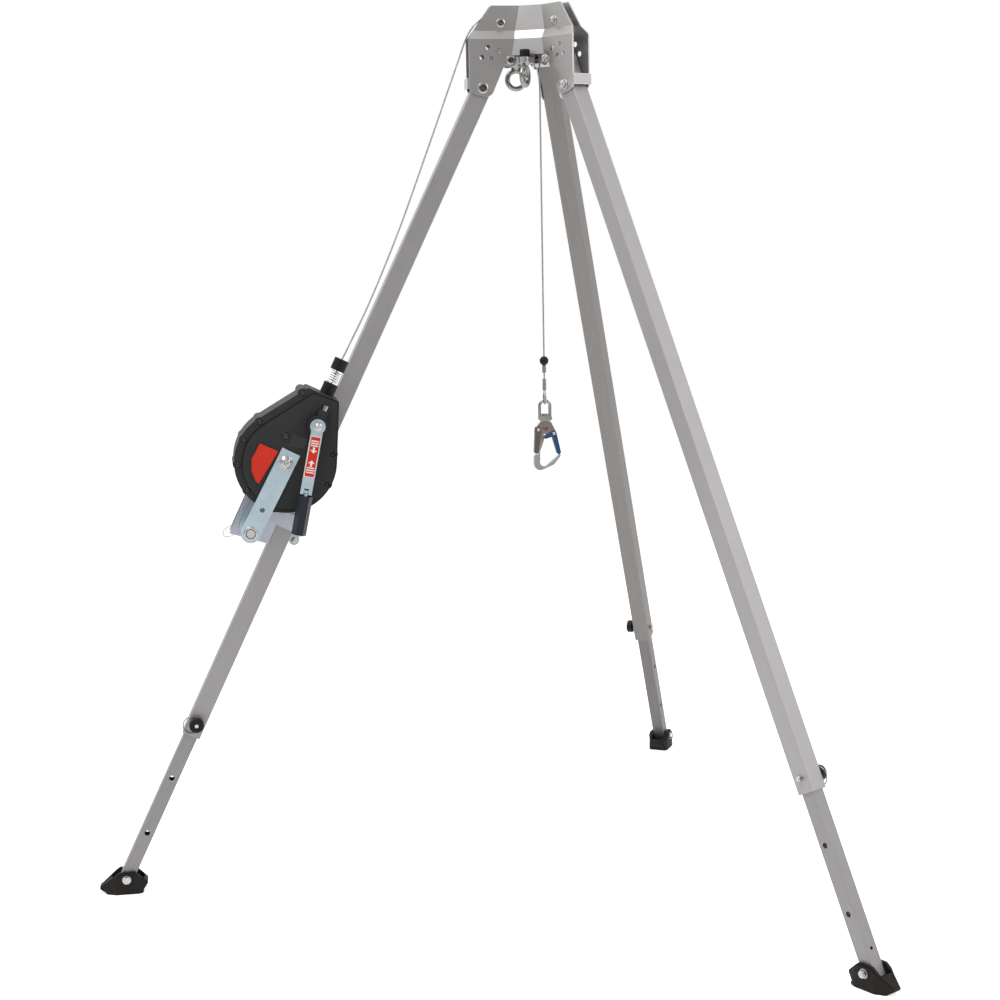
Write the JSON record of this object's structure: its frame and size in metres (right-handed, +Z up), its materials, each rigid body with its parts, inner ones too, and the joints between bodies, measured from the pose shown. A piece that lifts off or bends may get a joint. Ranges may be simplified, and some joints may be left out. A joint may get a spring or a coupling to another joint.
{
  "type": "rescue_tripod",
  "caption": "Tall rescue tripod with three folding telescopic legs, a cable winch block with crank on one leg, head pulleys and a swivel safety hook",
  "frame": {"origin": "on the floor, at the middle of the footprint of the three feet; the tripod axis stands at x = 0.3032 m", "axes": "+Z up; -X towards the left leg that carries the winch block; +Y away from the side that the winch crank faces"},
  "size_m": [1.93, 2.2268, 2.4009],
  "materials": {
    "anodised": "satin",
    "plate": "satin",
    "zinc_steel": "satin",
    "dark_steel": "matte",
    "spring_steel": "polished",
    "cable": "satin",
    "black_plastic": "matte",
    "housing_plastic": "satin",
    "rubber": "matte",
    "pulley": "satin",
    "grip_navy": "satin",
    "gate_blue": "satin",
    "lever_bronze": "satin",
    "hook_alloy": "satin"
  },
  "bodies": {
    "head": {"head_plate_front": "plate", "head_plate_right": "plate", "head_plate_left": "plate", "head_bolts": "zinc_steel", "stop_sleeves": "zinc_steel", "channel_straps": "plate", "anchor_lugs": "black_plastic", "anchor_eyes": "zinc_steel", "pulley_cheeks": "plate", "centre_axle": "zinc_steel", "cable_drop": "cable", "cable_end": "zinc_steel", "swivel_link": "zinc_steel"},
    "leg_left": {"outer_tube_left": "anodised", "snap_clip_left": "spring_steel", "housing_front": "housing_plastic", "housing_rear": "housing_plastic", "housing_screws": "dark_steel", "drum_axle": "zinc_steel", "recoil_spring": "spring_steel", "cable_buffers": "black_plastic", "buffer_spring": "spring_steel", "hanger_arms": "zinc_steel", "leg_bracket": "zinc_steel", "cable_run": "cable", "bracket_pin": "zinc_steel"},
    "leg_right": {"outer_tube_right": "anodised", "snap_clip_right": "spring_steel"},
    "leg_back": {"outer_tube_back": "anodised", "snap_clip_back": "spring_steel"},
    "lower_left": {"inner_tube_left": "anodised", "foot_bolt_left": "zinc_steel"},
    "shoe_left": {"foot_shoe_left": "rubber"},
    "pin_left": {"lock_pin_left": "zinc_steel", "lock_knob_left": "black_plastic", "pin_ring_left": "spring_steel"},
    "lower_right": {"inner_tube_right": "anodised", "foot_bolt_right": "zinc_steel"},
    "shoe_right": {"foot_shoe_right": "rubber"},
    "pin_right": {"lock_pin_right": "zinc_steel", "lock_knob_right": "black_plastic", "pin_ring_right": "spring_steel"},
    "lower_back": {"inner_tube_back": "anodised", "foot_bolt_back": "zinc_steel"},
    "shoe_back": {"foot_shoe_back": "rubber"},
    "pin_back": {"lock_pin_back": "zinc_steel", "lock_knob_back": "black_plastic", "pin_ring_back": "spring_steel"},
    "outer_pulley": {"outer_pulley": "pulley"},
    "centre_pulley": {"centre_pulley": "pulley"},
    "drum": {"cable_drum": "dark_steel"},
    "crank": {"crank_pinion": "zinc_steel", "crank_arm": "zinc_steel"},
    "spindle": {"crank_spindle": "zinc_steel"},
    "grip": {"crank_grip": "grip_navy"},
    "selector": {"selector_pin": "zinc_steel"},
    "hook": {"hook_body": "hook_alloy"},
    "gate": {"hook_gate": "gate_blue"},
    "lever": {"hook_lever": "lever_bronze"}
  },
  "joints": [
    {"name": "leg_fold_left", "type": "hinge", "parent": "head", "child": "leg_left", "pos_m": [0.15323, 0, 2.18393], "axis": [0, -1, 0], "range_deg": [0, 26], "deforming": ["snap_clip_left"]},
    {"name": "leg_extend_left", "type": "slide", "parent": "leg_left", "child": "lower_left", "axis": [-0.4384, 0, -0.8988], "range_m": [-0.34, 0.68]},
    {"name": "foot_tilt_left", "type": "hinge", "parent": "lower_left", "child": "shoe_left", "pos_m": [-0.89097, 0, 0.043], "axis": [0, -1, 0], "range_deg": [-26, 26]},
    {"name": "lock_pull_left", "type": "slide", "parent": "leg_left", "child": "pin_left", "axis": [0, -1, 0], "range_m": [0, 0.075]},
    {"name": "leg_fold_right", "type": "hinge", "parent": "head", "child": "leg_right", "pos_m": [0.37823, -0.1299, 2.18393], "axis": [0.866, 0.5, 0], "range_deg": [0, 26], "deforming": ["snap_clip_right"]},
    {"name": "leg_extend_right", "type": "slide", "parent": "leg_right", "child": "lower_right", "axis": [0.2192, -0.3796, -0.8988], "range_m": [-0.34, 0.68]},
    {"name": "foot_tilt_right", "type": "hinge", "parent": "lower_right", "child": "shoe_right", "pos_m": [0.90033, -1.03421, 0.043], "axis": [0.866, 0.5, 0], "range_deg": [-26, 26]},
    {"name": "lock_pull_right", "type": "slide", "parent": "leg_right", "child": "pin_right", "axis": [0.866, 0.5, 0], "range_m": [0, 0.075]},
    {"name": "leg_fold_back", "type": "hinge", "parent": "head", "child": "leg_back", "pos_m": [0.37823, 0.1299, 2.18393], "axis": [-0.866, 0.5, 0], "range_deg": [0, 26], "deforming": ["snap_clip_back"]},
    {"name": "leg_extend_back", "type": "slide", "parent": "leg_back", "child": "lower_back", "axis": [0.2192, 0.3796, -0.8988], "range_m": [-0.34, 0.68]},
    {"name": "foot_tilt_back", "type": "hinge", "parent": "lower_back", "child": "shoe_back", "pos_m": [0.90033, 1.03421, 0.043], "axis": [-0.866, 0.5, 0], "range_deg": [-26, 26]},
    {"name": "lock_pull_back", "type": "slide", "parent": "leg_back", "child": "pin_back", "axis": [-0.866, 0.5, 0], "range_m": [0, 0.075]},
    {"name": "outer_pulley_spin", "type": "hinge", "parent": "head", "child": "outer_pulley", "pos_m": [0.20673, 0, 2.35553], "axis": [0, 1, 0], "continuous": true},
    {"name": "centre_pulley_spin", "type": "hinge", "parent": "head", "child": "centre_pulley", "pos_m": [0.28923, 0, 2.37253], "axis": [0, 1, 0], "continuous": true},
    {"name": "drum_spin", "type": "hinge", "parent": "leg_left", "child": "drum", "pos_m": [-0.41544, 0, 1.20961], "axis": [0, 1, 0], "continuous": true},
    {"name": "crank_spin", "type": "hinge", "parent": "leg_left", "child": "crank", "pos_m": [-0.32945, 0, 1.30444], "axis": [0, 1, 0], "continuous": true},
    {"name": "grip_fold", "type": "hinge", "parent": "crank", "child": "spindle", "pos_m": [-0.36605, -0.193, 1.13228], "axis": [-0.9781, 0, 0.2079], "range_deg": [0, 90]},
    {"name": "grip_spin", "type": "hinge", "parent": "spindle", "child": "grip", "pos_m": [-0.36605, -0.193, 1.13228], "axis": [-0.2079, 0, -0.9781], "continuous": true},
    {"name": "selector_pull", "type": "slide", "parent": "leg_left", "child": "selector", "axis": [0.4384, 0, 0.8988], "range_m": [0, 0.008], "stiffness_N_per_m": 900},
    {"name": "hook_swivel", "type": "hinge", "parent": "head", "child": "hook", "pos_m": [0.31423, 0, 1.2766], "axis": [0, 0, 1], "continuous": true},
    {"name": "gate_open", "type": "hinge", "parent": "hook", "child": "gate", "pos_m": [0.33823, 0, 1.2406], "axis": [0, 1, 0], "range_deg": [0, 28], "stiffness_Nm_per_rad": 0.4},
    {"name": "lever_press", "type": "hinge", "parent": "hook", "child": "lever", "pos_m": [0.29423, 0, 1.2526], "axis": [0, -1, 0], "range_deg": [0, 6], "stiffness_Nm_per_rad": 2}
  ],
  "couplings": [
    {"joint": "crank_spin", "follows": "drum_spin", "ratio": -4.3333}
  ]
}
